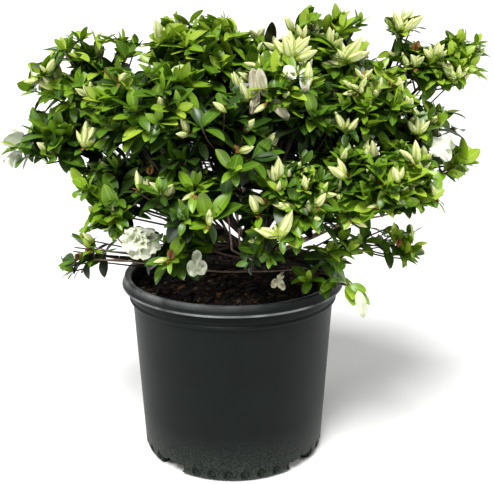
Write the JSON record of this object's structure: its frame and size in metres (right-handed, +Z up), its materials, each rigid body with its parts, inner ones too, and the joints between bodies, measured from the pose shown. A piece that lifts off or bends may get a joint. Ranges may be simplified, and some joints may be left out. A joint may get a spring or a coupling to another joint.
{
  "type": "azalea shrub",
  "caption": "Evergreen azalea shrub in bud, growing in a round plastic nursery pot: short trunk, fanned boughs and separate masses of leaves, buds and white flowers.",
  "frame": {"origin": "middle of the pot's flat underside, on the ground", "axes": "+Z up through the pot and the plant, -Y towards the viewer's side, +X to the right as seen from there"},
  "size_m": [0.5758, 0.3979, 0.5559],
  "materials": {
    "pot": "satin dark slate polyethylene",
    "soil": "loose dark bark mix",
    "bark": "thin grey-brown bark",
    "foliage": "satin green leaves, with cream buds and white flowers"
  },
  "bodies": {
    "root": {"pot": "pot", "soil": "soil", "trunk": "bark", "bough_left": "bark", "bough_left_sprig": "bark", "bough_crown_left": "bark", "bough_top": "bark", "bough_front_low": "bark", "bough_top_right": "bark", "bough_right_top": "bark", "bough_right": "bark", "bough_right_low": "bark", "bough_front_right": "bark", "bough_back_left": "bark", "bough_back": "bark", "bough_back_right": "bark", "bough_top_left": "bark", "bough_left_low": "bark", "bough_crown_front": "bark", "bough_front_skirt": "bark", "bough_crown_right": "bark", "bough_right_upper": "bark", "bough_right_peak": "bark", "bough_right_front": "bark", "bough_right_skirt": "bark", "bough_back_left_low": "bark", "bough_back_low": "bark", "bough_back_right_low": "bark", "bough_heart": "bark", "foliage_top_left": "foliage", "foliage_left": "foliage", "foliage_left_low": "foliage", "foliage_left_sprig": "foliage", "foliage_crown_left": "foliage", "foliage_top": "foliage", "foliage_crown_front": "foliage", "foliage_front_low": "foliage", "foliage_front_skirt": "foliage", "foliage_top_right": "foliage", "foliage_crown_right": "foliage", "foliage_right_peak": "foliage", "foliage_right_top": "foliage", "foliage_right_upper": "foliage", "foliage_right": "foliage", "foliage_right_front": "foliage", "foliage_right_low": "foliage", "foliage_right_skirt": "foliage", "foliage_front_right": "foliage", "foliage_back_left": "foliage", "foliage_back": "foliage", "foliage_back_right": "foliage", "foliage_back_left_low": "foliage", "foliage_back_low": "foliage", "foliage_back_right_low": "foliage", "foliage_heart": "foliage"}
  },
  "joints": []
}
